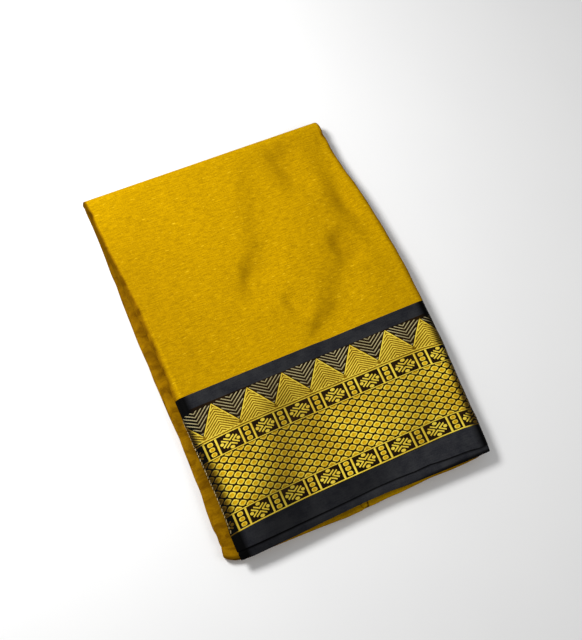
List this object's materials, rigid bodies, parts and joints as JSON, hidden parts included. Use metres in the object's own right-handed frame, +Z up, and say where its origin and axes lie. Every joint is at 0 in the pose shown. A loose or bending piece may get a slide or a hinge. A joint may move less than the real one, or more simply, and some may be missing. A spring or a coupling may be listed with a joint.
{
  "type": "folded saree",
  "caption": "Saree folded into a flat oblong packet lying on its underside, plain body cloth with a dark brocade border across one end.",
  "frame": {"origin": "centre of the bounding box at the underside", "axes": "+X across the packet, +Y from the border's selvedge to the far fold, +Z up from the surface that it lies on"},
  "size_m": [0.2875, 0.3814, 0.0205],
  "materials": {
    "body_silk": "mustard gold plain weave with a soft sheen and fine slubs across the packet",
    "border_silk": "near-black satin-faced silk",
    "border_zari": "gold metallic thread brocaded on near-black silk"
  },
  "bodies": {
    "root": {"body_top": "body_silk", "border_band_upper": "border_silk", "border_brocade": "border_zari", "border_band_lower": "border_silk", "border_under": "border_silk", "body_lower": "body_silk", "near_fold": "body_silk", "inner_layers": "body_silk"}
  },
  "joints": []
}
